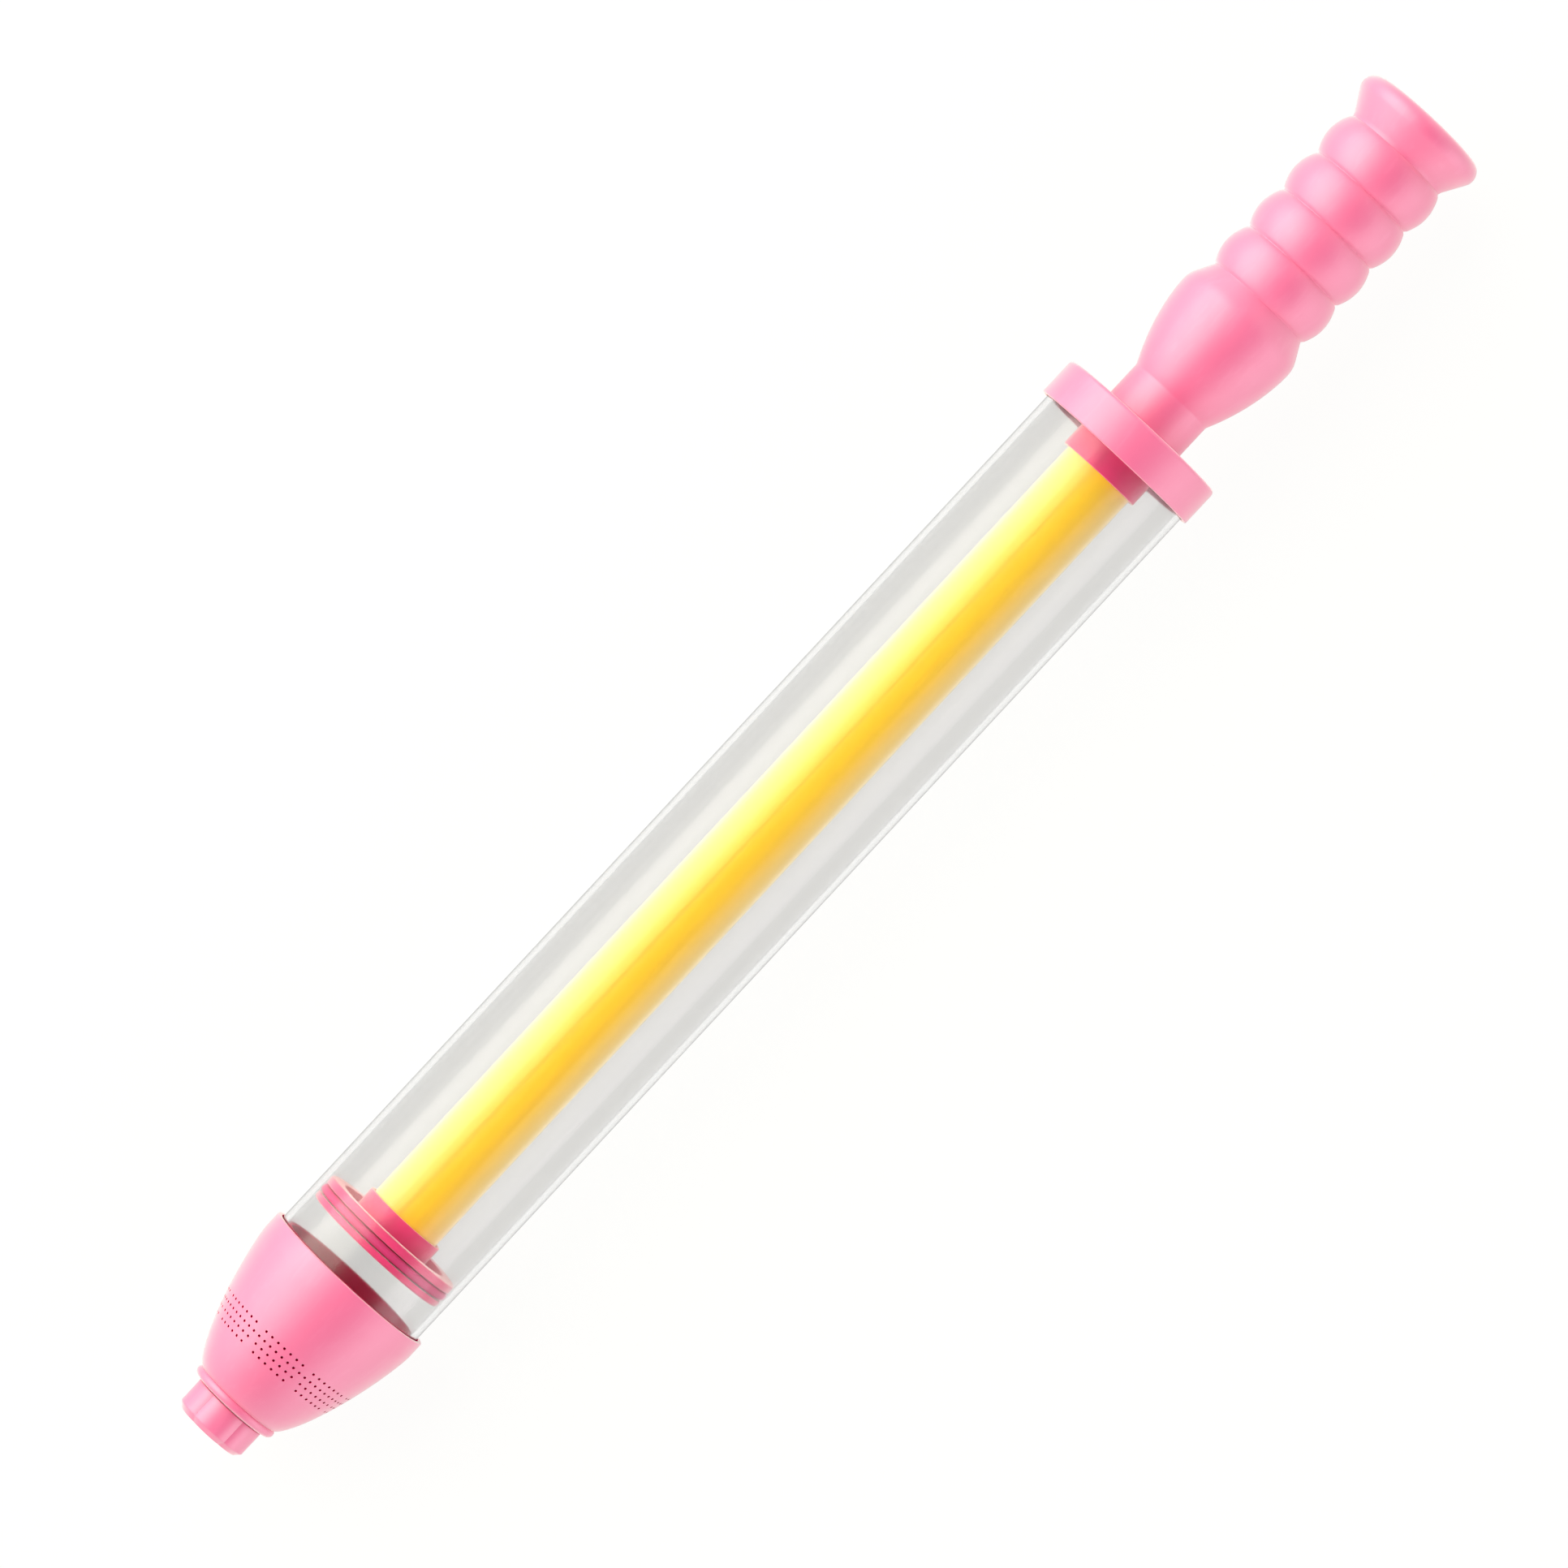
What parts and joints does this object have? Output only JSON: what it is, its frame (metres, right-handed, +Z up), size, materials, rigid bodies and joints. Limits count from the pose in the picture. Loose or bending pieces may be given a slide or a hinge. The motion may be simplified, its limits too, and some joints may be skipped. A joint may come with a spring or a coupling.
{
  "type": "water squirter",
  "caption": "Hand-pumped water squirter: clear barrel with a bullet-shaped nozzle cone and lobed spout, and a plunger on a tubular rod with a ribbed grip.",
  "frame": {"origin": "on the floor under the middle of the length, with the squirter lying on its nozzle rim and rear cap", "axes": "+X along the barrel from the spout to the grip, +Z up"},
  "size_m": [0.48, 0.0522, 0.0521],
  "materials": {
    "pink_plastic": "satin moulded pink",
    "deep_pink_plastic": "satin moulded deep pink",
    "clear_plastic": "clear extruded",
    "yellow_plastic": "satin extruded yellow",
    "seal_rubber": "soft deep pink",
    "gasket_rubber": "soft dark red",
    "plug_plastic": "plain moulded",
    "screw_steel": "zinc plated"
  },
  "bodies": {
    "barrel": {"spout_tip": "pink_plastic", "spout_seal": "gasket_rubber", "nozzle_cone": "pink_plastic", "cone_gasket": "gasket_rubber", "barrel_tube": "clear_plastic", "rear_cap": "pink_plastic", "guide_bush": "deep_pink_plastic"},
    "seal_ring": {"piston_seal_ring": "seal_rubber"},
    "plunger": {"piston_head": "deep_pink_plastic", "piston_screw": "screw_steel", "rod_plug_front": "plug_plastic", "plunger_rod": "yellow_plastic", "rod_plug_rear": "plug_plastic", "grip_screw": "screw_steel", "handle_grip": "pink_plastic", "grip_end_plug": "pink_plastic"}
  },
  "joints": [
    {"name": "plunger_slide", "type": "slide", "parent": "barrel", "child": "seal_ring", "axis": [1, 0, 0], "range_m": [0, 0.27]},
    {"name": "plunger_spin", "type": "hinge", "parent": "seal_ring", "child": "plunger", "pos_m": [0, 0, 0.02607], "axis": [1, 0, 0], "continuous": true}
  ]
}
